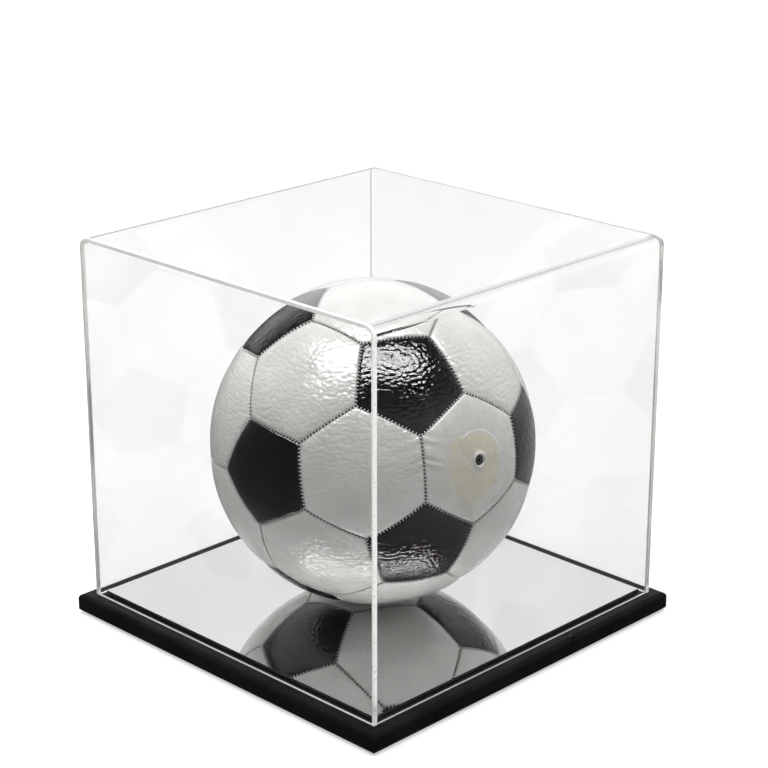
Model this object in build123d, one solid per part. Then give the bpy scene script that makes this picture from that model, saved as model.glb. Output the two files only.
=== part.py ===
"""Football display case: plinth with mirror, lift-off acrylic cover, and a size 5 football."""
from build123d import *
import math
import os

# ---------------------------------------------------------------- driving dimensions, mm

FOOT_DIAMETER = 22.0
FOOT_HEIGHT = 1.5
FOOT_INSET = 26.0            # foot centre to plinth side

PLINTH_WIDTH = 288.0
PLINTH_HEIGHT = 12.0
PLINTH_TOP_RADIUS = 3.5      # rounded top edge
PLINTH_UNDER_CHAMFER = 0.6

TAPE_WIDTH = 19.0
TAPE_LENGTH = 236.0
TAPE_THICKNESS = 1.0
TAPE_COUNT = 4
TAPE_PITCH = 72.0

MIRROR_WIDTH = 258.0
MIRROR_THICKNESS = 2.0
MIRROR_EDGE_CHAMFER = 0.3

COVER_WIDTH = 270.0
COVER_HEIGHT = 256.0
WALL = 3.0                   # acrylic sheet thickness
BEND_RADIUS = 7.0            # outer radius of the two heat bends
SHEET_EDGE_CHAMFER = 0.25    # flame-polished lower edges

BALL_RADIUS = 109.0
BALL_GAP = 0.3               # clearance between the ball and the mirror
PANEL_THICKNESS = 1.8
PANEL_EDGE_RADIUS = 1.1      # pulled-in edge along each seam
SEAM_HALF_GAP = 0.35
THREAD_RADIUS = 0.25
THREAD_DEPTH = 1.45          # thread centre below the ball's surface
THREAD_END_GAP = 1.0         # degrees of arc between a thread's end and the seam corner
LINING_OUTER_RADIUS = 106.4
LINING_THICKNESS = 1.4
BLADDER_OUTER_RADIUS = 104.8
BLADDER_THICKNESS = 1.0
PATCH_RADIUS = 22.0
PATCH_THICKNESS = 0.5
PATCH_CLEARANCE = 0.15

VALVE_NECK_RADIUS = 3.2
VALVE_HOLE_RADIUS = 3.4      # through panel, patch, lining and bladder
VALVE_FLANGE_RADIUS = 11.0
VALVE_FLANGE_THICKNESS = 2.0
VALVE_DEPTH = 10.0           # how far the plug reaches inside the bladder
VALVE_FLANGE_GAP = 1.0       # between the flange and the bladder
VALVE_RECESS = 0.5           # valve face below the panel's surface
VALVE_NEEDLE_RADIUS = 0.9
VALVE_NEEDLE_DEPTH = 9.0

# How the ball lies: where the valve panel faces, and the turn about that panel's axis from
# straight up to the nearest black panel, anticlockwise seen from outside, in degrees.
VALVE_AZIMUTH = -6.5
VALVE_ELEVATION = 10.5
VALVE_SPIN = 27.2

# ---------------------------------------------------------------- levels above the table, mm

PLINTH_BOTTOM_Z = FOOT_HEIGHT
PLINTH_TOP_Z = PLINTH_BOTTOM_Z + PLINTH_HEIGHT
MIRROR_BOTTOM_Z = PLINTH_TOP_Z + TAPE_THICKNESS
MIRROR_TOP_Z = MIRROR_BOTTOM_Z + MIRROR_THICKNESS
COVER_TOP_Z = PLINTH_TOP_Z + COVER_HEIGHT
BALL_CENTRE = Vector(0, 0, MIRROR_TOP_Z + BALL_GAP + BALL_RADIUS)

OUT_OF_BALL = 1.5 * BALL_RADIUS    # far enough for cutting shapes to pass through the ball
UPRIGHT = (Align.CENTER, Align.CENTER, Align.MIN)

GOLDEN = (1 + math.sqrt(5)) / 2
NEIGHBOUR_DOT = 1 / math.sqrt(5)   # cosine between neighbouring black panels' axes
SAME = 0.01                        # unit vectors and cosines closer than this are the same


def save(solids, name):
    """Write one sub-part as one STEP file."""
    shape = solids if not isinstance(solids, list) else Compound(children=solids)
    shape.label = name
    export_step(shape, f"parts/{name}.step")


# ---------------------------------------------------------------- base

def make_feet():
    reach = PLINTH_WIDTH / 2 - FOOT_INSET
    feet = []
    for side_x in (-1, 1):
        for side_y in (-1, 1):
            disc = Cylinder(FOOT_DIAMETER / 2, FOOT_HEIGHT, align=UPRIGHT)
            feet.append(Pos(side_x * reach, side_y * reach, 0) * disc)
    return feet


def make_plinth():
    board = Box(PLINTH_WIDTH, PLINTH_WIDTH, PLINTH_HEIGHT, align=UPRIGHT)
    board = Pos(0, 0, PLINTH_BOTTOM_Z) * board
    board = fillet(board.edges().group_by(Axis.Z)[-1], PLINTH_TOP_RADIUS)
    return chamfer(board.edges().group_by(Axis.Z)[0], PLINTH_UNDER_CHAMFER)


def make_tape_strips():
    strips = []
    for index in range(TAPE_COUNT):
        x = (index - (TAPE_COUNT - 1) / 2) * TAPE_PITCH
        strip = Box(TAPE_WIDTH, TAPE_LENGTH, TAPE_THICKNESS, align=UPRIGHT)
        strips.append(Pos(x, 0, PLINTH_TOP_Z) * strip)
    return strips


def make_mirror():
    sheet = Box(MIRROR_WIDTH, MIRROR_WIDTH, MIRROR_THICKNESS, align=UPRIGHT)
    sheet = Pos(0, 0, MIRROR_BOTTOM_Z) * sheet
    return chamfer(sheet.edges().group_by(Axis.Z)[-1], MIRROR_EDGE_CHAMFER)


# ---------------------------------------------------------------- cover

def cover_outline(inset):
    """Front-view outline of the bent sheet: square lower corners, rounded upper corners."""
    half = COVER_WIDTH / 2 - inset
    top = COVER_TOP_Z - inset
    radius = BEND_RADIUS - inset
    outline = Polyline((half, top), (half, PLINTH_TOP_Z), (-half, PLINTH_TOP_Z), (-half, top), close=True)
    face = Plane.XZ * make_face(outline)
    return fillet(face.vertices().group_by(Axis.Z)[-1], radius)


def make_cover_wrap():
    length = COVER_WIDTH - 2 * WALL
    outer = extrude(cover_outline(0), length / 2, both=True)
    inner = extrude(cover_outline(WALL), length, both=True)
    wrap = outer - inner
    lower_edges = wrap.edges().group_by(Axis.Z)[0].filter_by(Axis.Y)
    return chamfer(lower_edges, SHEET_EDGE_CHAMFER)


def make_cover_panel(side):
    """Flat end panel of the cover; side is -1 for the front and 1 for the back."""
    panel = extrude(cover_outline(0), WALL / 2, both=True)
    panel = Pos(0, side * (COVER_WIDTH - WALL) / 2, 0) * panel
    return chamfer(panel.edges().group_by(Axis.Z)[0].filter_by(Axis.X), SHEET_EDGE_CHAMFER)


# ---------------------------------------------------------------- football geometry

def icosahedron_axes():
    """The twelve corner directions of an icosahedron: the black panels' axes."""
    axes = []
    for a in (-1, 1):
        for b in (-GOLDEN, GOLDEN):
            axes += [Vector(0, a, b), Vector(a, b, 0), Vector(b, 0, a)]
    return [axis.normalized() for axis in axes]


def are_neighbours(first, second):
    return abs(first.dot(second) - NEIGHBOUR_DOT) < SAME


def panel_corner(near, far):
    """Seam corner on the line from one black panel's axis to its neighbour's."""
    return (near * 2 + far).normalized()


def find_triangles(axes):
    """The twenty groups of three neighbouring black panels: one white panel lies in each."""
    groups = []
    for i in range(12):
        for j in range(i + 1, 12):
            for k in range(j + 1, 12):
                a, b, c = axes[i], axes[j], axes[k]
                if are_neighbours(a, b) and are_neighbours(b, c) and are_neighbours(a, c):
                    groups.append((a, b, c))
    return groups


def perpendicular(vector, axis):
    """The part of a vector that is square to an axis, as a unit vector."""
    return (vector - axis * vector.dot(axis)).normalized()


def ball_turn():
    """A function that turns a direction from the icosahedron's frame to the case's frame."""
    first = find_triangles(icosahedron_axes())[0]
    local_z = (first[0] + first[1] + first[2]).normalized()
    local_x = perpendicular(first[0], local_z)
    local_y = local_z.cross(local_x)
    azimuth = math.radians(VALVE_AZIMUTH)
    elevation = math.radians(VALVE_ELEVATION)
    level = math.cos(elevation)
    valve = Vector(level * math.cos(azimuth), level * math.sin(azimuth), math.sin(elevation))
    up = perpendicular(Vector(0, 0, 1), valve)
    world_x = up.rotate(Axis((0, 0, 0), valve), VALVE_SPIN)
    world_y = valve.cross(world_x)

    def turn(direction):
        x = direction.dot(local_x)
        y = direction.dot(local_y)
        z = direction.dot(local_z)
        return world_x * x + world_y * y + valve * z

    return turn


def shell(outer_radius, thickness):
    return Sphere(outer_radius) - Sphere(outer_radius - thickness)


def wedge(corner_directions, axis, side_gap):
    """Cone with flat sides through the seam corners, its sides drawn in by side_gap."""
    side_normal = corner_directions[0].cross(corner_directions[1]).normalized()
    apex = axis * (side_gap / abs(side_normal.dot(axis)))
    rim = [apex + direction * OUT_OF_BALL for direction in corner_directions]
    sides = []
    for index, corner in enumerate(rim):
        following = rim[(index + 1) % len(rim)]
        sides.append(Face(Wire.make_polygon([apex, corner, following], close=True)))
    sides.append(Face(Wire.make_polygon(rim, close=True)))
    return Solid(Shell(sides))


def upright_panel(corner_angle, sides):
    """One panel with its axis along +Z and its first corner over +X."""
    corners = []
    for index in range(sides):
        around = 2 * math.pi * index / sides
        level = math.sin(corner_angle)
        corners.append(Vector(level * math.cos(around), level * math.sin(around), math.cos(corner_angle)))
    panel = shell(BALL_RADIUS, PANEL_THICKNESS) & wedge(corners, Vector(0, 0, 1), SEAM_HALF_GAP)
    rim = panel.faces().sort_by(Axis.Z)[-1].outer_wire().edges()
    return fillet(rim, PANEL_EDGE_RADIUS)


def place_on_ball(solid, axis, corner, turn):
    """Move a solid made around +Z to an axis and corner direction of the ball."""
    direction = turn(axis)
    towards = turn(perpendicular(corner, axis))
    return Plane(origin=BALL_CENTRE, x_dir=towards, z_dir=direction).location * solid


def valve_hole():
    return Cylinder(VALVE_HOLE_RADIUS, OUT_OF_BALL, align=UPRIGHT)


def make_valve():
    """Rubber plug with a flange inside the bladder and a blind bore for the needle."""
    bladder_inside = BLADDER_OUTER_RADIUS - BLADDER_THICKNESS
    neck_bottom = bladder_inside - VALVE_DEPTH
    neck_top = BALL_RADIUS - VALVE_RECESS
    neck = Pos(0, 0, neck_bottom) * Cylinder(VALVE_NECK_RADIUS, neck_top - neck_bottom, align=UPRIGHT)
    flange_bottom = bladder_inside - VALVE_FLANGE_GAP - VALVE_FLANGE_THICKNESS
    flange = Pos(0, 0, flange_bottom) * Cylinder(VALVE_FLANGE_RADIUS, VALVE_FLANGE_THICKNESS, align=UPRIGHT)
    bore = Pos(0, 0, neck_top - VALVE_NEEDLE_DEPTH)
    bore = bore * Cylinder(VALVE_NEEDLE_RADIUS, VALVE_NEEDLE_DEPTH, align=UPRIGHT)
    return neck + flange - bore


def make_patch():
    """Round reinforcement between the valve panel and the lining."""
    outer_radius = BALL_RADIUS - PANEL_THICKNESS - PATCH_CLEARANCE
    column = Cylinder(PATCH_RADIUS, OUT_OF_BALL, align=UPRIGHT)
    return (shell(outer_radius, PATCH_THICKNESS) & column) - valve_hole()


def make_threads(axes, turn):
    """A short curved thread down in every seam."""
    radius = BALL_RADIUS - THREAD_DEPTH
    threads = []
    seams = []
    for near in axes:
        neighbours = [axis for axis in axes if are_neighbours(near, axis)]
        for far in neighbours:
            seams.append((panel_corner(near, far), panel_corner(far, near)))
        for far in neighbours:
            for other in neighbours:
                if are_neighbours(far, other):
                    seams.append((panel_corner(near, far), panel_corner(near, other)))
    done = []
    for start, end in seams:
        middle = (start + end).normalized()
        if any((middle - other).length < SAME for other in done):
            continue
        done.append(middle)
        threads.append(make_thread(turn(start), turn(end), radius))
    return threads


def make_thread(start, end, radius):
    """One thread along the great circle between two seam corners, stopping short of both."""
    middle = (start + end).normalized()
    along = perpendicular(end, middle)
    reach = math.degrees(math.acos(start.dot(middle))) - THREAD_END_GAP
    plane = Plane(origin=BALL_CENTRE, x_dir=middle, z_dir=middle.cross(along))
    path = plane * CenterArc((0, 0), radius, -reach, 2 * reach)
    section = Plane(origin=path @ 0, z_dir=path % 0) * Circle(THREAD_RADIUS)
    return sweep(section, path)


def save_football():
    axes = icosahedron_axes()
    turn = ball_turn()
    triangles = find_triangles(axes)

    pentagon_corner = panel_corner(axes[0], next(axis for axis in axes if are_neighbours(axes[0], axis)))
    black_panel = upright_panel(math.acos(pentagon_corner.dot(axes[0])), 5)
    for index, axis in enumerate(axes):
        neighbour = next(other for other in axes if are_neighbours(axis, other))
        save(place_on_ball(black_panel, axis, neighbour, turn), f"pentagon_panel_{index + 1:02d}")

    first, second, third = triangles[0]
    hexagon_axis = (first + second + third).normalized()
    white_panel = upright_panel(math.acos(panel_corner(first, second).dot(hexagon_axis)), 6)
    for index, (a, b, c) in enumerate(triangles):
        axis = (a + b + c).normalized()
        panel = white_panel if index else white_panel - valve_hole()
        name = f"hexagon_panel_{index:02d}" if index else "valve_panel"
        save(place_on_ball(panel, axis, panel_corner(a, b), turn), name)

    lining = shell(LINING_OUTER_RADIUS, LINING_THICKNESS) - valve_hole()
    bladder = shell(BLADDER_OUTER_RADIUS, BLADDER_THICKNESS) - valve_hole()
    inner_parts = {
        "ball_lining": lining,
        "ball_bladder": bladder,
        "ball_valve": make_valve(),
        "valve_patch": make_patch(),
    }
    for name, solid in inner_parts.items():
        save(place_on_ball(solid, hexagon_axis, first, turn), name)
    save(make_threads(axes, turn), "seam_thread")


os.makedirs("parts", exist_ok=True)
save(make_feet(), "base_feet")
save(make_plinth(), "base_plinth")
save(make_tape_strips(), "mirror_tape")
save(make_mirror(), "mirror_sheet")
save(make_cover_wrap(), "cover_wrap")
save(make_cover_panel(-1), "cover_front_panel")
save(make_cover_panel(1), "cover_back_panel")
save_football()
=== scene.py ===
import math

import bpy
import numpy as np
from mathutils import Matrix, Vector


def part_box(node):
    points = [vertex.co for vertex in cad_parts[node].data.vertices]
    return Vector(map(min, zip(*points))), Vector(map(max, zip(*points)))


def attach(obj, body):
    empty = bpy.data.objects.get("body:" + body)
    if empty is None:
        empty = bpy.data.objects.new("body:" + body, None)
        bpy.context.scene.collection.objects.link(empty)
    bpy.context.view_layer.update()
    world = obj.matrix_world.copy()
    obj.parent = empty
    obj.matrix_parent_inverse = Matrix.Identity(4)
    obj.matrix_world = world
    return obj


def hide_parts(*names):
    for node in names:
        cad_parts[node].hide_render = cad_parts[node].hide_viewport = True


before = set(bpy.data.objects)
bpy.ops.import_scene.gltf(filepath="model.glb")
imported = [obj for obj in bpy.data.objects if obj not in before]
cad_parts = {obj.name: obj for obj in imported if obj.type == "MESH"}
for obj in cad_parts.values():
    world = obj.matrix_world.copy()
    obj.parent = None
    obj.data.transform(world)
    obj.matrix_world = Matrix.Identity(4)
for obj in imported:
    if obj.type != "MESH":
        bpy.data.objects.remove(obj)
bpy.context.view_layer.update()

MM = 0.001
TINY = 1e-9              # keeps a direction from being divided by a length of nothing

# ---------------------------------------------------------------- driving values

CAMERA_PLACE = (0.967, -0.971, 0.6576)
CAMERA_HEADING = 44.56          # degrees, from +Y towards -X
CAMERA_TILT = 19.70             # degrees below level
CAMERA_LENS = 102.1             # mm
CAMERA_SENSOR = 36              # mm wide

# Football panels. A REACH is the distance from the seam at which an effect has faded to about a third.
STITCHES_PER_SEAM = 18
FINE_PER_STITCH = 4             # mesh points along the seam for each stitch
ROLL_WIDTH = 2.4 * MM           # the turned-in edge of a panel
ROLL_DEPTH = 0.95 * MM
PUFF = 1.3 * MM                 # how much lower a panel lies near its seams
PUFF_REACH = 5.5 * MM
SEAM_HALF_GAP = 0.12 * MM
GAP_REACH = 2.0 * MM
SCALLOP = 0.55 * MM             # how far each stitch pulls the panel edge back
SCALLOP_REACH = 1.1 * MM
SCALLOP_DROP = 0.28 * MM        # and down
DROP_REACH = 2.4 * MM
PUCKER = 0.16 * MM              # wrinkles that run in from the seams
PUCKER_SIZE = 1.5 * MM
PUCKER_REACH = 5.0 * MM
UNDULATION = 0.22 * MM          # slow swell of the stuffing
UNDULATION_SIZE = 9.0 * MM
SKIRT_DEPTH = 3.0 * MM          # the panel edge goes down to the lining
SEAM_SHADE_REACH = 0.7 * MM        # of the painted shade in the seams

# Folds beside the valve panel, where the leather is gathered
FRONT_LEFT = (-0.7, -0.7, 0.15)
PINCH_PLACE = 0.3               # share of the seam's length
FOLD_HEIGHT = 0.75 * MM
FOLD_SPACING = 7.5 * MM
FOLD_WOBBLE = 2.1 * MM          # size of their unevenness
FOLD_SLANT = 0.35
FOLD_SPREAD = 19.0 * MM         # along the seam
FOLD_REACH = 7.0 * MM

# Distances of a panel's mesh rings from its seam, in mm; the last two have fewer points
FINE_RINGS = (0.0, 0.12, 0.35, 0.7, 1.15, 1.7, 2.5, 3.6)
MIDDLE_RINGS = (4.8, 6.2, 7.8, 9.6, 11.6, 13.8, 16.2, 18.8, 21.6)
INNER_RINGS = ((25.0, STITCHES_PER_SEAM // 3), (29.0, STITCHES_PER_SEAM // 9))
LAST_RING_RADIUS = 2.0 * MM     # the least room left inside it, round the middle or the hole

# Stitches. Profile from end to end: place along it in lengths, depth in diameters, thickness in radii
THREAD_RADIUS = 0.32 * MM
THREAD_LENGTH = 1.8 * MM
THREAD_DEPTH = 1.45 * MM
THREAD_SLANT = 0.25
THREAD_SIDES = 8
THREAD_PROFILE = ((-0.5, 0.9, 0.5), (-0.38, 0.25, 1.0), (0, 0.0, 1.05), (0.38, 0.25, 1.0), (0.5, 0.9, 0.5))

# Valve and the patch behind it
VALVE_HOLE = 3.4 * MM
# (radius, depth) in mm, from the panel into the hole
VALVE_LIP = ((9.0, 0.0), (7.0, 0.0), (6.1, -0.15), (5.4, -0.7), (4.9, -1.15), (4.4, -1.3),
             (3.9, -0.9), (3.5, 0.1), (3.4, 1.8))
LIP_FADE = (5.0 * MM, 7.5 * MM)             # the patch shows from here outwards
PATCH_RADIUS = 22.0 * MM
PATCH_LEFT = 3.0 * MM                       # of the valve
PATCH_BELOW = 3.5 * MM
PATCH_WOBBLE = 3.0 * MM
PATCH_FADE = (1.5 * MM, -3.0 * MM)          # past its radius, from nothing to full strength
PATCH_THIN = 0.35                           # strength where it shows least
PATCH_COLOUR = (0.72, 0.685, 0.525)
CREASE_RADIUS = 19.5 * MM                   # the patch's rim, pressed through the leather
CREASE_WIDTH = 1.0 * MM
CREASE_HEIGHT = 0.5 * MM
CREASE_MIDDLE = 20.0 * MM                   # from the valve, upwards and a little right
CREASE_FADE = (17.0 * MM, 25.0 * MM)        # from there, from full strength to nothing

# Leather
GRAIN_SIZE = 3.2 * MM
GRAIN_STRETCH = (1.0, 1.0, 1.35)            # pebbles wider than tall
CREASES_PER_PEBBLE = 0.35
ROUGHNESS_SPREAD = (-0.04, 0.05)            # round a leather's own roughness
WHITE_COLOURS = ((0.67, 0.66, 0.64), (0.76, 0.755, 0.735))
BLACK_COLOURS = ((0.002, 0.002, 0.002), (0.005, 0.005, 0.005))
# Painted shade in the seams of every leather: its colour, how strong it gets, and the seam value where it
# starts
SEAM_SHADE_COLOUR = (0.004, 0.004, 0.004)
SEAM_SHADE_STRENGTH = 0.9
SEAM_SHADE_START = 0.15                            # seam value at which the painted shade starts

# Case
GLUE_GAP = 0.01 * MM
FACING = 0.95                               # least part of a normal along an axis that it faces
SHEET_CLEARNESS = 0.92                      # share of scattered light that passes one face
# Painted glow of the sheets' cut edges: its strength and its colour
EDGE_PAINTED_GLOW = 0.03                            # painted glow on the cut edges, standing in for the light that the sheets carry to them
EDGE_PAINTED_GLOW_COLOUR = (1.0, 0.975, 0.935)

# Most values of a noise texture lie between these
NOISE_LOW = 0.3
NOISE_HIGH = 0.7

# Plain matt materials: name, darkest and lightest colour, roughness, grains per metre, grain depth
THREAD = ("thread", (0.72, 0.71, 0.68), (0.86, 0.85, 0.82), 0.6, 3000.0, 0.05 * MM)
MIRROR_BACKING = ("mirror_backing", (0.008, 0.008, 0.008), (0.02, 0.02, 0.02), 0.35, 800.0, 0.03 * MM)
# and the same after the name of the CAD node that wears it
PLAIN_NODES = (
    ("base_feet", "foot_rubber", (0.012, 0.012, 0.012), (0.03, 0.03, 0.03), 0.75, 900.0, 0.1 * MM),
    ("mirror_tape", "foam_tape", (0.62, 0.62, 0.60), (0.75, 0.75, 0.73), 0.8, 1200.0, 0.1 * MM),
    # the lining is painted dark grey, as painted shade in the seam gaps where it shows
    ("ball_lining", "lining_cloth", (0.05, 0.05, 0.05), (0.12, 0.12, 0.11), 0.9, 1500.0, 0.1 * MM),
    ("ball_bladder", "bladder_rubber", (0.02, 0.02, 0.02), (0.04, 0.04, 0.04), 0.5, 300.0, 0.1 * MM),
    ("ball_valve", "valve_rubber", (0.02, 0.02, 0.018), (0.045, 0.043, 0.04), 0.6, 1500.0, 0.05 * MM),
    ("valve_patch", "patch_film", (0.55, 0.52, 0.42), (0.65, 0.61, 0.5), 0.5, 200.0, 0.05 * MM),
)

# Lamps
SOFTBOX_GLOW = 19.0
SOFTBOX_PLACE = (0.095, -0.165, 1.35)
SOFTBOX_WIDTH = 1.4             # across the camera's view
SOFTBOX_DEPTH = 0.6
FILL_GLOW = 2.0
FILL_PLACE = (-0.10, -0.10, 1.45)
FILL_SIZE = 1.1
SKY_STRENGTH = 2.1
SKY_PLACE = (0, 0, 3)
SKY_ANGLE = 60                  # degrees across

# Which rays count as what
OUTSIDE_DEPTH = 2.5             # fewer crossings than this: the ray was never inside the cover
LEAST_PIPED = 2.5               # more reflections than this count as light trapped in a sheet

# The room that surfaces mirror; each pair of edges is a stretch of direction, from start to end
ROOM_FRONT = 0.02               # brightness behind the camera
ROOM_BACK = 1.12                # and of the white wall behind the case
ROOM_VEIL = 0.83                # share of the whole room that the cover's outside mirrors
ROOM_RIGHT = 0.75               # share of the wall's brightness on the right-hand side
ROOM_SLANT = 0.6                # how far the wall is turned from +Y towards -X
ROOM_BACK_EDGES = (0.0, 0.75)
ROOM_RIGHT_EDGES = (0.35, 0.95)
ROOM_TOP_EDGES = (0.75, 0.45)
ROOM_SOFT_FRONT = 0.20          # brightness for light scattered by matt surfaces, front and back
ROOM_SOFT_BACK = 2.0
ROOM_SOFT_EDGES = (-0.6, 0.8)

FLOOR_SIZE = 60
FLOOR_GLOW = 0.48               # the light it gives off itself
FLOOR_WHITE = (0.45, 0.45, 0.448)
FLOOR_BOUNCE = 0.55             # share of the floor's light that matt surfaces get
FLOOR_GLOSS = (0.04, 0.45)      # share of it that glossy surfaces mirror, left and right
FLOOR_EDGES = (-0.4, 0.4)       # x + y, in metres, where the left share ends and the right one starts
FLOOR_VEIL = 0.03               # share of it that the cover's outside mirrors


# ---------------------------------------------------------------- the football's layout, from the frame

def node_centre(name):
    low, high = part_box(name)
    return np.array((low + high) / 2)


def node_points(name):
    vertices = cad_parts[name].data.vertices
    points = np.zeros(len(vertices) * 3)
    vertices.foreach_get("co", points)
    return points.reshape(-1, 3)


def unit(vector):
    return vector / np.linalg.norm(vector, axis=-1, keepdims=True)


BALL_CENTRE = node_centre("ball_lining")
BALL_RADIUS = np.linalg.norm(node_points("pentagon_panel_01") - BALL_CENTRE, axis=1).max()
NEIGHBOUR_DOT = 1 / math.sqrt(5)            # cosine of the angle between neighbouring black panels
NEIGHBOUR_MARGIN = 0.05


def panel_axis(name):
    return unit(node_points(name).mean(axis=0) - BALL_CENTRE)


def are_neighbours(first, second):
    return abs(first @ second - NEIGHBOUR_DOT) < NEIGHBOUR_MARGIN


def read_layout():
    """Axis and seam corners of every panel by node; a corner is a third of the way between two black axes."""
    names = sorted(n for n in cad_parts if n.startswith("pentagon_panel"))
    black = {name: panel_axis(name) for name in names}
    panels = {}
    for name, axis in black.items():
        around = [other for other in black.values() if are_neighbours(axis, other)]
        panels[name] = (axis, in_order(axis, [unit(2 * axis + other) for other in around]))
    white = sorted(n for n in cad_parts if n.startswith("hexagon_panel") or n == "valve_panel")
    axes = list(black.values())
    for name in white:
        rough = panel_axis(name)
        three = sorted(axes, key=lambda other: -(other @ rough))[:3]
        corners = [unit(2 * a + b) for a in three for b in three if a is not b]
        panels[name] = (unit(sum(three)), in_order(unit(sum(three)), corners))
    return panels


def in_order(axis, corners):
    """Corners sorted anticlockwise round the axis, seen from outside."""
    across = unit(corners[0] - axis * (corners[0] @ axis))
    up = np.cross(axis, across)
    return sorted(corners, key=lambda c: math.atan2(c @ up, c @ across))


PANELS = read_layout()


def edges_of(corners):
    """Both ends of every edge of a panel, in order."""
    return zip(corners, corners[1:] + corners[:1])


def find_pinch():
    """Where the leather is gathered, on the valve panel's seam towards the front left."""
    corners = PANELS["valve_panel"][1]
    places = [unit(start * (1 - PINCH_PLACE) + end * PINCH_PLACE) for start, end in edges_of(corners)]
    return max(places, key=lambda place: place @ np.array(FRONT_LEFT))


PINCH = find_pinch()


# ---------------------------------------------------------------- football meshes

def waves(points):
    """Slow, seamless swell of the stuffed panels, from -1 to 1; the odd factors keep it from repeating."""
    x, y, z = (points / UNDULATION_SIZE).T
    total = np.sin(x + 1.3 * np.sin(0.7 * y)) + np.sin(1.1 * y + 1.2 * np.sin(0.8 * z) + 2.1)
    return (total + np.sin(0.9 * z + 1.1 * np.sin(0.9 * x) + 4.0)) / 3


def puckers(points):
    """Short wrinkles, from -1 to 1, made in the same way."""
    x, y, z = (points / PUCKER_SIZE).T
    total = np.sin(x + 0.8 * np.sin(0.4 * y)) + np.sin(0.9 * y + 1.4)
    return (total + np.sin(1.1 * z + 0.7 * np.sin(0.5 * x) + 2.6)) / 3


def folds(points, distance):
    """Height of the folds that run in from the gathered seam beside the valve panel."""
    from_pinch = np.linalg.norm(points - PINCH * BALL_RADIUS, axis=1)
    slant = points[:, 2] + FOLD_SLANT * distance
    ridges = np.sin(slant / FOLD_SPACING * 2 * math.pi + np.sin(slant / FOLD_WOBBLE))
    return FOLD_HEIGHT * ridges * np.exp(-(from_pinch / FOLD_SPREAD) ** 2) * math.exp(-distance / FOLD_REACH)


def edge_drop(distance):
    """Depth below the panel's crown at a distance from the seam."""
    inside = max(1 - distance / ROLL_WIDTH, 0)
    return ROLL_DEPTH * (1 - math.sqrt(1 - inside ** 2)) + PUFF * math.exp(-distance / PUFF_REACH)


def ring_plan(apothem, hole_radius):
    """(distance from the seam, mesh points per edge) of every ring, from the seam inwards."""
    fine = STITCHES_PER_SEAM * FINE_PER_STITCH
    plan = [(distance * MM, fine) for distance in FINE_RINGS]
    for distance in MIDDLE_RINGS:
        folded = hole_radius and distance * MM < FOLD_SPREAD
        plan.append((distance * MM, fine if folded else STITCHES_PER_SEAM))
    plan += [(distance * MM, points) for distance, points in INNER_RINGS]
    return [(d, n) for d, n in plan if d < apothem - hole_radius - LAST_RING_RADIUS]


def edge_directions(corners, per_edge):
    """Evenly spaced directions round the panel's outline, with their places along each edge."""
    directions = []
    places = []
    for start, end in edges_of(corners):
        for step in range(per_edge):
            place = step / per_edge
            directions.append(unit(start * (1 - place) + end * place))
            places.append(place)
    return np.array(directions), np.array(places)


def panel_ring(axis, corners, distance, per_edge, apothem):
    """Points of one ring of a panel; the rings turn from the panel's outline into circles."""
    outline, places = edge_directions(corners, per_edge)
    share = 1 - distance / apothem
    rounded = unit(outline - axis * (outline @ axis)[:, None])
    circle = unit(axis * math.cos(apothem / BALL_RADIUS) + rounded * math.sin(apothem / BALL_RADIUS))
    soft = 1 - share ** 3
    target = unit(outline * (1 - soft) + circle * soft)
    directions = unit(axis * (1 - share) + target * share)
    inward = unit(axis - directions * (directions @ axis)[:, None] + TINY)
    stitch = 0.5 + 0.5 * np.cos(2 * math.pi * (places * STITCHES_PER_SEAM + 0.5))
    near = math.exp(-distance / SCALLOP_REACH)
    shift = (SEAM_HALF_GAP + SCALLOP * stitch * near) * math.exp(-distance / GAP_REACH)
    fade = math.exp(-distance / DROP_REACH)
    points = directions * BALL_RADIUS
    wrinkle = PUCKER * puckers(points) * math.exp(-distance / PUCKER_REACH) + folds(points, distance)
    slack = UNDULATION * (1 - waves(points)) * (1 - fade)
    level = BALL_RADIUS - edge_drop(distance) - SCALLOP_DROP * stitch * fade - slack + wrinkle * (1 - fade)
    return directions * level[:, None] + inward * shift[:, None]


def connect(faces, outer, inner):
    """Faces between two rings of vertex numbers; the outer ring may be a whole multiple finer."""
    ratio = len(outer) // len(inner)
    for i in range(len(inner)):
        following = (i + 1) % len(inner)
        fine = [outer[(i * ratio + k) % len(outer)] for k in range(ratio + 1)]
        faces.append(fine + [inner[following], inner[i]])


def panel_rings(axis, corners, hole_radius):
    """Rings of points of one puffed panel, from its skirt inwards, and how deep in the seam each one lies,
    which sets the painted shade there.
    """
    middle = unit(corners[0] + corners[1])
    apothem = math.acos(axis @ middle) * BALL_RADIUS
    plan = ring_plan(apothem, hole_radius)
    edge = panel_ring(axis, corners, 0.0, plan[0][1], apothem)
    rings = [unit(edge) * (BALL_RADIUS - SKIRT_DEPTH)]
    seam_shade_mask = [1.0]
    for distance, per_edge in plan:
        rings.append(panel_ring(axis, corners, distance, per_edge, apothem))
        seam_shade_mask.append(math.exp(-distance / SEAM_SHADE_REACH))
    if hole_radius:
        lip = valve_rings(axis, corners, plan[-1][1])
        rings += lip
        seam_shade_mask += [0.0] * len(lip)
    return rings, seam_shade_mask


def build_mesh(name, vertices, faces):
    mesh = bpy.data.meshes.new(name)
    mesh.from_pydata([tuple(v) for v in vertices], [], faces)
    mesh.update()
    mesh.shade_smooth()
    piece = bpy.data.objects.new(name, mesh)
    bpy.context.scene.collection.objects.link(piece)
    return piece


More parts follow.
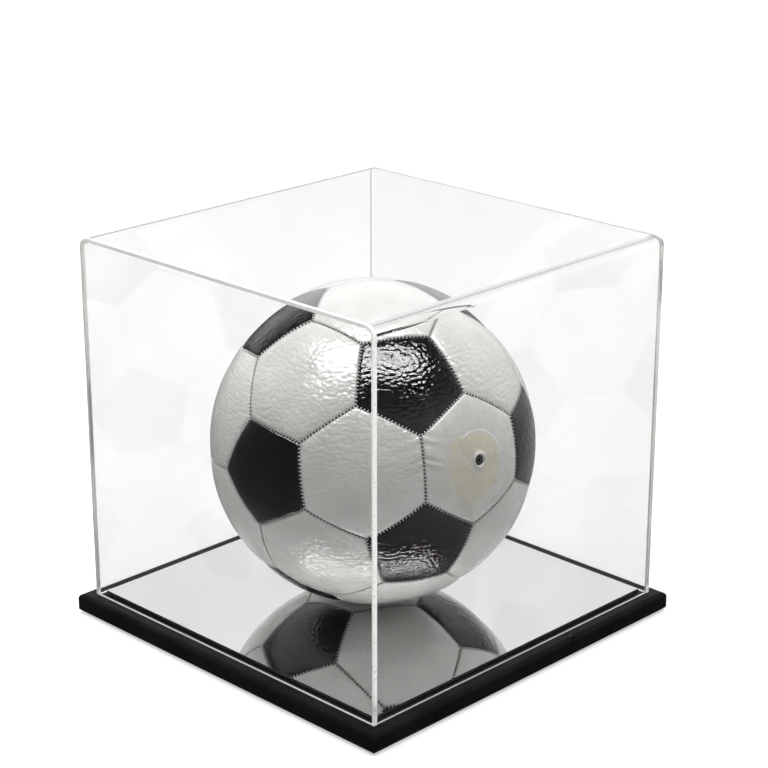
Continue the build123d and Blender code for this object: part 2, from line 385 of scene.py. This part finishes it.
def make_panel(name, material):
    axis, corners = PANELS[name]
    hole = VALVE_HOLE if name == "valve_panel" else 0.0
    rings, seam_shade_mask = panel_rings(axis, corners, hole)
    vertices = []
    numbers = []
    for ring in rings:
        numbers.append(list(range(len(vertices), len(vertices) + len(ring))))
        vertices += list(ring)
    faces = []
    for outer, inner in zip(numbers, numbers[1:]):
        connect(faces, outer, inner)
    if not hole:
        faces.append(numbers[-1])
    piece = build_mesh("shell_" + name, np.array(vertices) + BALL_CENTRE, faces)
    # nearness to the seam, which sets the painted shade in it
    depths = piece.data.attributes.new("seam_shade_mask", "FLOAT", "POINT")
    depths.data.foreach_set("value", np.repeat(seam_shade_mask, [len(ring) for ring in rings]))
    piece.data.materials.append(material)
    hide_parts(name)
    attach(piece, "ball")


def valve_rings(axis, corners, per_edge):
    """Round rings that lead from the panel down into the valve hole."""
    outline, _ = edge_directions(corners, per_edge)
    rounded = unit(outline - axis * (outline @ axis)[:, None])
    rings = []
    for radius, depth in VALVE_LIP:
        angle = radius * MM / BALL_RADIUS
        level = BALL_RADIUS - UNDULATION - depth * MM
        rings.append((axis * math.cos(angle) + rounded * math.sin(angle)) * level)
    return rings


def seams():
    """The end corners of every seam."""
    found = {}
    for _, corners in PANELS.values():
        for start, end in edges_of(corners):
            key = tuple(np.round(unit(start + end), 2) + 0.0)
            found.setdefault(key, (start, end))
    return list(found.values())


def capsule(centre, direction, up):
    """Points and faces of a short thread lying along direction, its ends turned down."""
    side = np.cross(direction, up)
    points = []
    for along, sink, size in THREAD_PROFILE:
        middle = centre + direction * along * THREAD_LENGTH - up * sink * 2 * THREAD_RADIUS
        for step in range(THREAD_SIDES):
            angle = 2 * math.pi * step / THREAD_SIDES
            points.append(middle + (side * math.cos(angle) + up * math.sin(angle)) * THREAD_RADIUS * size)
    faces = []
    for first in range(0, len(points) - THREAD_SIDES, THREAD_SIDES):
        for step in range(THREAD_SIDES):
            here = first + step
            following = first + (step + 1) % THREAD_SIDES
            faces.append([here, following, following + THREAD_SIDES, here + THREAD_SIDES])
    last = len(points) - THREAD_SIDES
    faces += [list(range(THREAD_SIDES - 1, -1, -1)), list(range(last, len(points)))]
    return points, faces


def make_stitches(material):
    vertices = []
    faces = []
    for start, end in seams():
        for stitch in range(STITCHES_PER_SEAM):
            place = (stitch + 0.5) / STITCHES_PER_SEAM
            out = unit(start * (1 - place) + end * place)
            along = unit(end - start - out * ((end - start) @ out))
            across = unit(np.cross(out, along) + THREAD_SLANT * along)
            centre = out * (BALL_RADIUS - THREAD_DEPTH)
            points, quads = capsule(centre, across, out)
            faces += [[number + len(vertices) for number in quad] for quad in quads]
            vertices += points
    piece = build_mesh("seam_stitches", np.array(vertices) + BALL_CENTRE, faces)
    piece.data.materials.append(material)
    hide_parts("seam_thread")
    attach(piece, "ball")


# ---------------------------------------------------------------- materials

def new_material(name):
    material = bpy.data.materials.new(name)
    material.use_nodes = True
    tree = material.node_tree
    return material, tree, tree.nodes["Principled BSDF"]


def set_values(shader, **values):
    for name, value in values.items():
        shader.inputs[name.replace("_", " ")].default_value = value


def object_coordinates(tree, scale=(1, 1, 1)):
    coordinates = tree.nodes.new("ShaderNodeTexCoord")
    mapping = tree.nodes.new("ShaderNodeMapping")
    mapping.inputs["Scale"].default_value = scale
    tree.links.new(coordinates.outputs["Object"], mapping.inputs["Vector"])
    return mapping.outputs["Vector"]


def noise(tree, coordinates, scale, detail=3.0, roughness=0.5, distortion=0.0):
    node = tree.nodes.new("ShaderNodeTexNoise")
    set_values(node, Scale=scale, Detail=detail, Roughness=roughness, Distortion=distortion)
    tree.links.new(coordinates, node.inputs["Vector"])
    return node.outputs["Fac"]


def cells(tree, coordinates, scale, smoothness):
    node = tree.nodes.new("ShaderNodeTexVoronoi")
    node.feature = "SMOOTH_F1"
    set_values(node, Scale=scale, Smoothness=smoothness, Randomness=0.75)
    tree.links.new(coordinates, node.inputs["Vector"])
    return node.outputs["Distance"]


def ramp(tree, value, low_colour, high_colour, low=NOISE_LOW, high=NOISE_HIGH):
    """Colour that goes from one to the other as value goes from low to high."""
    node = tree.nodes.new("ShaderNodeValToRGB")
    node.color_ramp.elements[0].position = low
    node.color_ramp.elements[1].position = high
    node.color_ramp.elements[0].color = (*low_colour, 1)
    node.color_ramp.elements[1].color = (*high_colour, 1)
    tree.links.new(value, node.inputs["Fac"])
    return node.outputs["Color"]


def remap(tree, value, low, high, new_low, new_high):
    node = tree.nodes.new("ShaderNodeMapRange")
    for name, number in zip(("From Min", "From Max", "To Min", "To Max"), (low, high, new_low, new_high)):
        node.inputs[name].default_value = number
    tree.links.new(value, node.inputs["Value"])
    return node.outputs["Result"]


def node_math(tree, operation, first, second):
    node = tree.nodes.new("ShaderNodeMath")
    node.operation = operation
    for socket, value in zip(node.inputs, (first, second)):
        if hasattr(value, "is_output"):
            tree.links.new(value, socket)
        else:
            socket.default_value = value
    return node.outputs[0]


def mix_colours(tree, factor, first, second):
    """First where factor is 0, second where it is 1."""
    node = tree.nodes.new("ShaderNodeMix")
    node.data_type = "RGBA"
    tree.links.new(factor, node.inputs["Factor"])
    for socket, value in ((node.inputs[6], first), (node.inputs[7], second)):
        if hasattr(value, "is_output"):
            tree.links.new(value, socket)
        else:
            socket.default_value = (*value, 1)
    return node.outputs[2]


def mix_numbers(tree, factor, first, second):
    """The same for numbers."""
    change = node_math(tree, "SUBTRACT", second, first)
    return node_math(tree, "ADD", first, node_math(tree, "MULTIPLY", factor, change))


def bump(tree, height, distance, strength=1.0, after=None):
    node = tree.nodes.new("ShaderNodeBump")
    node.inputs["Distance"].default_value = distance
    node.inputs["Strength"].default_value = strength
    tree.links.new(height, node.inputs["Height"])
    if after is not None:
        tree.links.new(after, node.inputs["Normal"])
    return node.outputs["Normal"]


def leather_grain(tree, depth, crease_depth, melt):
    """Rounded pebbles over soft creases; melt is how far the pebbles run together."""
    flat = object_coordinates(tree, GRAIN_STRETCH)
    hollows = node_math(tree, "POWER", cells(tree, flat, 1 / GRAIN_SIZE, melt), 2.0)
    creases = noise(tree, flat, CREASES_PER_PEBBLE / GRAIN_SIZE, detail=2.0, roughness=0.5, distortion=0.6)
    return bump(tree, hollows, -depth, 1.0, bump(tree, creases, crease_depth))


def make_leather(name, colours, roughness, grain_depth, crease_depth, gloss, melt=0.5):
    """Material, node tree and shader of a grained leather, with painted shade in the seams."""
    material, tree, shader = new_material(name)
    set_values(shader, Specular_IOR_Level=gloss)
    cloudy = noise(tree, object_coordinates(tree), 45.0, detail=4.0)
    # painted shade: the colour darkens towards the seams, where the groove's shadow falls
    seam_shade_mask = tree.nodes.new("ShaderNodeAttribute")
    seam_shade_mask.attribute_name = "seam_shade_mask"
    shade = remap(tree, seam_shade_mask.outputs["Fac"], SEAM_SHADE_START, 1.0, 0.0, SEAM_SHADE_STRENGTH)
    leather = ramp(tree, cloudy, *colours)
    tree.links.new(mix_colours(tree, shade, leather, SEAM_SHADE_COLOUR), shader.inputs["Base Color"])
    smooth, dull = (roughness + change for change in ROUGHNESS_SPREAD)
    rough = remap(tree, cloudy, 0.25, 0.75, smooth, dull)
    tree.links.new(rough, shader.inputs["Roughness"])
    tree.links.new(leather_grain(tree, grain_depth, crease_depth, melt), shader.inputs["Normal"])
    return material, tree, shader


def make_white_leather():
    return make_leather("white_leather", WHITE_COLOURS, roughness=0.20,
                        grain_depth=0.42 * MM, crease_depth=0.45 * MM, gloss=0.75)[0]


def make_black_leather():
    return make_leather("black_leather", BLACK_COLOURS, roughness=0.08,
                        grain_depth=0.40 * MM, crease_depth=0.03 * MM, gloss=0.6, melt=0.25)[0]


def distance_to(tree, place):
    node = tree.nodes.new("ShaderNodeVectorMath")
    node.operation = "DISTANCE"
    node.inputs[1].default_value = place
    tree.links.new(object_coordinates(tree), node.inputs[0])
    return node.outputs["Value"]


def make_valve_leather():
    """White leather with a warm patch showing through round the valve, and the crease of the patch's rim."""
    material, tree, shader = make_leather("valve_leather", WHITE_COLOURS, roughness=0.27,
                                          grain_depth=0.12 * MM, crease_depth=0.45 * MM, gloss=0.5)
    axis = PANELS["valve_panel"][0]
    right = unit(np.cross(np.array([0.0, 0.0, 1.0]), axis))
    up = np.cross(axis, right)
    valve = BALL_CENTRE + axis * BALL_RADIUS
    from_valve = distance_to(tree, valve)
    add_patch(tree, shader, from_valve, valve - right * PATCH_LEFT - up * PATCH_BELOW)
    half = CREASE_WIDTH / 2
    rim = remap(tree, from_valve, CREASE_RADIUS - half, CREASE_RADIUS + half, 1.0, 0.0)
    from_middle = distance_to(tree, valve + (up + 0.5 * right) * CREASE_MIDDLE)
    crease = node_math(tree, "MULTIPLY", rim, remap(tree, from_middle, *CREASE_FADE, 1.0, 0.0))
    grain = shader.inputs["Normal"].links[0].from_socket
    tree.links.new(bump(tree, crease, CREASE_HEIGHT, 1.0, grain), shader.inputs["Normal"])
    return material


def add_patch(tree, shader, from_valve, centre):
    """The warm disc, cloudy and with a wavy edge."""
    soft = noise(tree, object_coordinates(tree), 60.0, detail=3.0)
    wobble = remap(tree, soft, NOISE_LOW, NOISE_HIGH, -PATCH_WOBBLE, PATCH_WOBBLE)
    wobbly = node_math(tree, "ADD", distance_to(tree, centre), wobble)
    inside = remap(tree, wobbly, PATCH_RADIUS + PATCH_FADE[0], PATCH_RADIUS + PATCH_FADE[1], 0.0, 1.0)
    outside_lip = remap(tree, from_valve, *LIP_FADE, 0.0, 1.0)
    clouds = noise(tree, object_coordinates(tree), 110.0, detail=2.0)
    cloudy = remap(tree, clouds, NOISE_LOW, NOISE_HIGH, PATCH_THIN, 1.0)
    strength = node_math(tree, "MULTIPLY", node_math(tree, "MULTIPLY", inside, outside_lip), cloudy)
    plain = shader.inputs["Base Color"].links[0].from_socket
    tree.links.new(mix_colours(tree, strength, plain, PATCH_COLOUR), shader.inputs["Base Color"])


def make_acrylic():
    """Clear cast sheet with the slightest cloudiness and waviness."""
    material, tree, shader = new_material("clear_acrylic")
    set_values(shader, Transmission_Weight=1.0, IOR=1.49, Roughness=0.0)
    flat = object_coordinates(tree)
    cloud = noise(tree, flat, 14.0, detail=5.0)
    tint = ramp(tree, cloud, (0.895, 0.90, 0.897), (0.925, 0.93, 0.927))
    tree.links.new(tint, shader.inputs["Base Color"])
    tree.links.new(bump(tree, noise(tree, flat, 6.0, detail=1.0), 0.04 * MM), shader.inputs["Normal"])
    let_light_through(tree, shader)
    return material


def let_light_through(tree, shader):
    """Lamp light, light scattered by matt surfaces and light long trapped in a sheet crosses it unbent."""
    path = tree.nodes.new("ShaderNodeLightPath")
    scattered = node_math(tree, "MAXIMUM", path.outputs["Is Shadow Ray"], path.outputs["Is Diffuse Ray"])
    piped = node_math(tree, "GREATER_THAN", path.outputs["Glossy Depth"], LEAST_PIPED)
    straight = node_math(tree, "MAXIMUM", scattered, piped)
    clear = tree.nodes.new("ShaderNodeBsdfTransparent")
    clear.inputs["Color"].default_value = (SHEET_CLEARNESS, SHEET_CLEARNESS, SHEET_CLEARNESS, 1)
    either = tree.nodes.new("ShaderNodeMixShader")
    tree.links.new(straight, either.inputs[0])
    tree.links.new(shader.outputs[0], either.inputs[1])
    tree.links.new(clear.outputs[0], either.inputs[2])
    tree.links.new(either.outputs[0], tree.nodes["Material Output"].inputs["Surface"])


def make_sawn_acrylic():
    """The cut edges of the sheets: fine matt saw marks that catch the light, with a faint painted glow."""
    material, tree, shader = new_material("acrylic_edge")
    # a faint painted glow, in place of the light that the sheets carry to their cut edges
    set_values(shader, Transmission_Weight=0.6, IOR=1.49, Emission_Strength=EDGE_PAINTED_GLOW)
    shader.inputs["Emission Color"].default_value = (*EDGE_PAINTED_GLOW_COLOUR, 1)
    flat = object_coordinates(tree, (1.0, 1.0, 0.15))
    marks = noise(tree, flat, 2500.0, detail=2.0)
    tint = ramp(tree, marks, (0.74, 0.735, 0.70), (0.88, 0.875, 0.85))
    tree.links.new(tint, shader.inputs["Base Color"])
    tree.links.new(remap(tree, marks, NOISE_LOW, NOISE_HIGH, 0.25, 0.45), shader.inputs["Roughness"])
    tree.links.new(bump(tree, marks, 0.02 * MM), shader.inputs["Normal"])
    return material


def make_mirror():
    """Silvering, a little hazy where it was touched."""
    material, tree, shader = new_material("silvered_mirror")
    set_values(shader, Metallic=1.0)
    smudge = noise(tree, object_coordinates(tree), 22.0, detail=5.0, distortion=0.5)
    tree.links.new(remap(tree, smudge, 0.35, 0.8, 0.012, 0.035), shader.inputs["Roughness"])
    tint = ramp(tree, smudge, (0.935, 0.94, 0.935), (0.965, 0.97, 0.96), low=0.2, high=0.8)
    tree.links.new(tint, shader.inputs["Base Color"])
    return material


def make_lacquer():
    """Satin black paint with a fine orange-peel surface."""
    material, tree, shader = new_material("black_lacquer")
    set_values(shader, Specular_IOR_Level=0.05)
    flat = object_coordinates(tree)
    cloudy = noise(tree, flat, 30.0, detail=5.0)
    tint = ramp(tree, cloudy, (0.006, 0.006, 0.007), (0.012, 0.012, 0.013))
    tree.links.new(tint, shader.inputs["Base Color"])
    tree.links.new(remap(tree, cloudy, 0.25, 0.75, 0.26, 0.36), shader.inputs["Roughness"])
    orange_peel = noise(tree, flat, 700.0, detail=1.0)
    tree.links.new(bump(tree, orange_peel, 0.02 * MM, 0.6), shader.inputs["Normal"])
    return material


def make_plain(name, low_colour, high_colour, roughness, grain_scale, grain_depth):
    """A matt material with fine speckle: rubber, foam, cloth, film or thread."""
    material, tree, shader = new_material(name)
    grain = noise(tree, object_coordinates(tree), grain_scale, detail=4.0)
    tree.links.new(ramp(tree, grain, low_colour, high_colour), shader.inputs["Base Color"])
    tree.links.new(bump(tree, grain, grain_depth, 0.8), shader.inputs["Normal"])
    shader.inputs["Roughness"].default_value = roughness
    return material


def paint_node(name, material):
    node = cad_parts[name]
    node.data.materials.clear()
    node.data.materials.append(material)


def paint_cover():
    """Clear faces, matt sawn edges along the joints and the bottom, a hair of air between glued sheets."""
    clear = make_acrylic()
    sawn = make_sawn_acrylic()
    for name in ("cover_wrap", "cover_front_panel", "cover_back_panel"):
        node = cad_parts[name]
        paint_node(name, clear)
        node.data.materials.append(sawn)
        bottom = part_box(name)[0].z
        for face in node.data.polygons:
            across = abs(face.normal.y) > FACING
            cut = across if name == "cover_wrap" else not across
            lowest = face.normal.z < -FACING and face.center.z < bottom + MM
            face.material_index = int(cut or lowest)
        shrink = node.modifiers.new("glue_line", "DISPLACE")
        shrink.strength = -GLUE_GAP
        shrink.mid_level = 0


def paint_mirror():
    """Silvered face; black backing paint on the underside and round the edge."""
    paint_node("mirror_sheet", make_mirror())
    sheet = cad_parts["mirror_sheet"]
    sheet.data.materials.append(make_plain(*MIRROR_BACKING))
    for face in sheet.data.polygons:
        face.material_index = int(face.normal.z < FACING)


def paint_cad_nodes():
    paint_cover()
    paint_mirror()
    paint_node("base_plinth", make_lacquer())
    for node, *look in PLAIN_NODES:
        paint_node(node, make_plain(*look))


def make_football():
    white = make_white_leather()
    black = make_black_leather()
    for name in PANELS:
        if name == "valve_panel":
            make_panel(name, make_valve_leather())
        else:
            make_panel(name, black if name.startswith("pentagon") else white)
    make_stitches(make_plain(*THREAD))


# ---------------------------------------------------------------- studio

def add_light(name, kind, energy, place, **settings):
    """A lamp that points straight down."""
    data = bpy.data.lights.new(name, kind)
    data.energy = energy
    for key, value in settings.items():
        setattr(data, key, value)
    light = bpy.data.objects.new(name, data)
    light.location = place
    light.visible_camera = False
    bpy.context.scene.collection.objects.link(light)
    return light


def bounced(tree, kind):
    """1 for rays that have bounced once or twice off a surface in this way, 0 for the rest."""
    path = tree.nodes.new("ShaderNodeLightPath")
    some = node_math(tree, "MINIMUM", path.outputs[kind + " Depth"], 1.0)
    few = node_math(tree, "LESS_THAN", path.outputs[kind + " Depth"], LEAST_PIPED)
    return node_math(tree, "MULTIPLY", some, few)


def never_inside(tree):
    """1 for rays that have not been inside the cover, 0 for the rest."""
    path = tree.nodes.new("ShaderNodeLightPath")
    return node_math(tree, "LESS_THAN", path.outputs["Transmission Depth"], OUTSIDE_DEPTH)


def make_floor():
    """White floor, partly glowing, that gives back less of its light than it shows."""
    bpy.ops.mesh.primitive_plane_add(size=FLOOR_SIZE)
    floor = bpy.context.object
    floor.name = "studio_floor"
    material, tree, shader = new_material("studio_floor")
    set_values(shader, Roughness=0.9, Specular_IOR_Level=0.0)
    straight = node_math(tree, "SUBTRACT", bounced(tree, "Glossy"), bounced(tree, "Diffuse"))
    place = tree.nodes.new("ShaderNodeSeparateXYZ")
    tree.links.new(object_coordinates(tree), place.inputs[0])
    rightwards = node_math(tree, "ADD", place.outputs["X"], place.outputs["Y"])
    dimmed = remap(tree, rightwards, *FLOOR_EDGES, 1 - FLOOR_GLOSS[0], 1 - FLOOR_GLOSS[1])
    mirrored = node_math(tree, "MULTIPLY", straight, dimmed)
    from_outside = node_math(tree, "MULTIPLY", straight, never_inside(tree))
    veil = node_math(tree, "MULTIPLY", from_outside, 1 - FLOOR_VEIL)
    bounce = node_math(tree, "MULTIPLY", bounced(tree, "Diffuse"), 1 - FLOOR_BOUNCE)
    lost = node_math(tree, "MAXIMUM", node_math(tree, "MAXIMUM", mirrored, veil), bounce)
    light = node_math(tree, "SUBTRACT", 1.0, lost)
    tree.links.new(mix_colours(tree, light, (0.0, 0.0, 0.0), FLOOR_WHITE), shader.inputs["Base Color"])
    tree.links.new(node_math(tree, "MULTIPLY", light, FLOOR_GLOW), shader.inputs["Emission Strength"])
    shader.inputs["Emission Color"].default_value = (1, 1, 1, 1)
    floor.data.materials.append(material)


def make_lights():
    sky = add_light("sky", "SUN", SKY_STRENGTH, SKY_PLACE, angle=math.radians(SKY_ANGLE))
    fill_power = FILL_GLOW * math.pi * FILL_SIZE ** 2
    fill = add_light("fill", "AREA", fill_power, FILL_PLACE, shape="SQUARE", size=FILL_SIZE)
    for unseen in (sky, fill):
        unseen.visible_glossy = False
        unseen.visible_transmission = False
    softbox_power = SOFTBOX_GLOW * math.pi * SOFTBOX_WIDTH * SOFTBOX_DEPTH
    softbox = add_light("softbox", "AREA", softbox_power, SOFTBOX_PLACE,
                        shape="RECTANGLE", size=SOFTBOX_WIDTH, size_y=SOFTBOX_DEPTH)
    softbox.rotation_euler.z = math.radians(CAMERA_HEADING)
    softbox.visible_diffuse = False
    keep_out_of_sheets(softbox)


def keep_out_of_sheets(light):
    """No bare reflection of this lamp in the outside of the cover, which would hide what is inside."""
    light.data.use_nodes = True
    tree = light.data.node_tree
    path = tree.nodes.new("ShaderNodeLightPath")
    reflected = node_math(tree, "MINIMUM", path.outputs["Glossy Depth"], 1.0)
    lost = node_math(tree, "MULTIPLY", reflected, never_inside(tree))
    strength = node_math(tree, "SUBTRACT", 1.0, lost)
    tree.links.new(strength, tree.nodes["Emission"].inputs["Strength"])


def make_world():
    """White backdrop; bounced light meets a dark room behind the camera and a bright wall behind the case."""
    world = bpy.data.worlds.new("studio")
    world.use_nodes = True
    tree = world.node_tree
    background = tree.nodes["Background"]
    coordinates = tree.nodes.new("ShaderNodeTexCoord")
    direction = tree.nodes.new("ShaderNodeSeparateXYZ")
    tree.links.new(coordinates.outputs["Generated"], direction.inputs[0])
    across = node_math(tree, "MULTIPLY", direction.outputs["X"], ROOM_SLANT)
    depth = node_math(tree, "SUBTRACT", direction.outputs["Y"], across)
    back = remap(tree, depth, *ROOM_BACK_EDGES, 0.0, 1.0)
    side = remap(tree, direction.outputs["X"], *ROOM_RIGHT_EDGES, 0.0, ROOM_RIGHT)
    far = node_math(tree, "MAXIMUM", back, side)
    low = remap(tree, direction.outputs["Z"], *ROOM_TOP_EDGES, 0.0, 1.0)
    glow = node_math(tree, "MULTIPLY", far, low)
    room = remap(tree, glow, 0.0, 1.0, ROOM_FRONT, ROOM_BACK)
    veil = mix_numbers(tree, never_inside(tree), 1.0, ROOM_VEIL)
    room = node_math(tree, "MULTIPLY", room, veil)
    behind = node_math(tree, "SUBTRACT", direction.outputs["Y"], direction.outputs["X"])
    around = remap(tree, behind, *ROOM_SOFT_EDGES, ROOM_SOFT_FRONT, ROOM_SOFT_BACK)
    glossy = mix_numbers(tree, bounced(tree, "Glossy"), 1.0, room)
    strength = mix_numbers(tree, bounced(tree, "Diffuse"), glossy, around)
    tree.links.new(strength, background.inputs["Strength"])
    background.inputs["Color"].default_value = (1, 1, 1, 1)
    bpy.context.scene.world = world


def make_camera():
    data = bpy.data.cameras.new("camera")
    data.sensor_width = CAMERA_SENSOR
    data.lens = CAMERA_LENS
    camera = bpy.data.objects.new("camera", data)
    camera.location = CAMERA_PLACE
    camera.rotation_euler = (math.radians(90 - CAMERA_TILT), 0, math.radians(CAMERA_HEADING))
    bpy.context.scene.collection.objects.link(camera)
    bpy.context.scene.camera = camera


make_camera()
make_floor()
make_lights()
make_world()
bpy.context.scene.view_settings.view_transform = "Standard"
paint_cad_nodes()
make_football()
